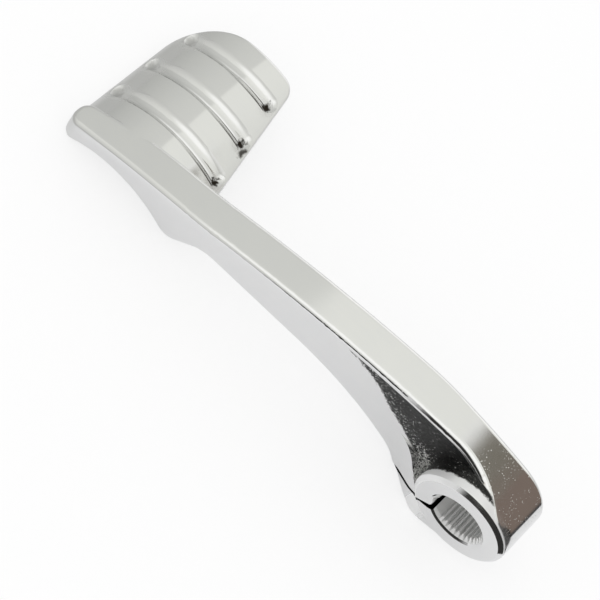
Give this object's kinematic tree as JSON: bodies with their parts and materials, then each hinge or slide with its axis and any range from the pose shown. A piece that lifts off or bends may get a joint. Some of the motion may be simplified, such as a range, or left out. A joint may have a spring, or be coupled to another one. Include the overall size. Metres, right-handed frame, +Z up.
{
  "type": "kick start lever",
  "caption": "Chromed kick start lever with a serrated clamp hub, a cranked arm with a scooped engine side and an arched, grooved foot pedal.",
  "frame": {"origin": "middle of the bore at the hub's engine-side boss face", "axes": "+X along the arm to the pedal, +Y along the bore towards the engine, +Z up as the lever lies on a bench"},
  "size_m": [0.1874, 0.0626, 0.0396],
  "materials": {
    "lever": "bright chrome plating over a cast surface, rough and dark in the scoop"
  },
  "bodies": {
    "root": {"lever": "lever"}
  },
  "joints": []
}
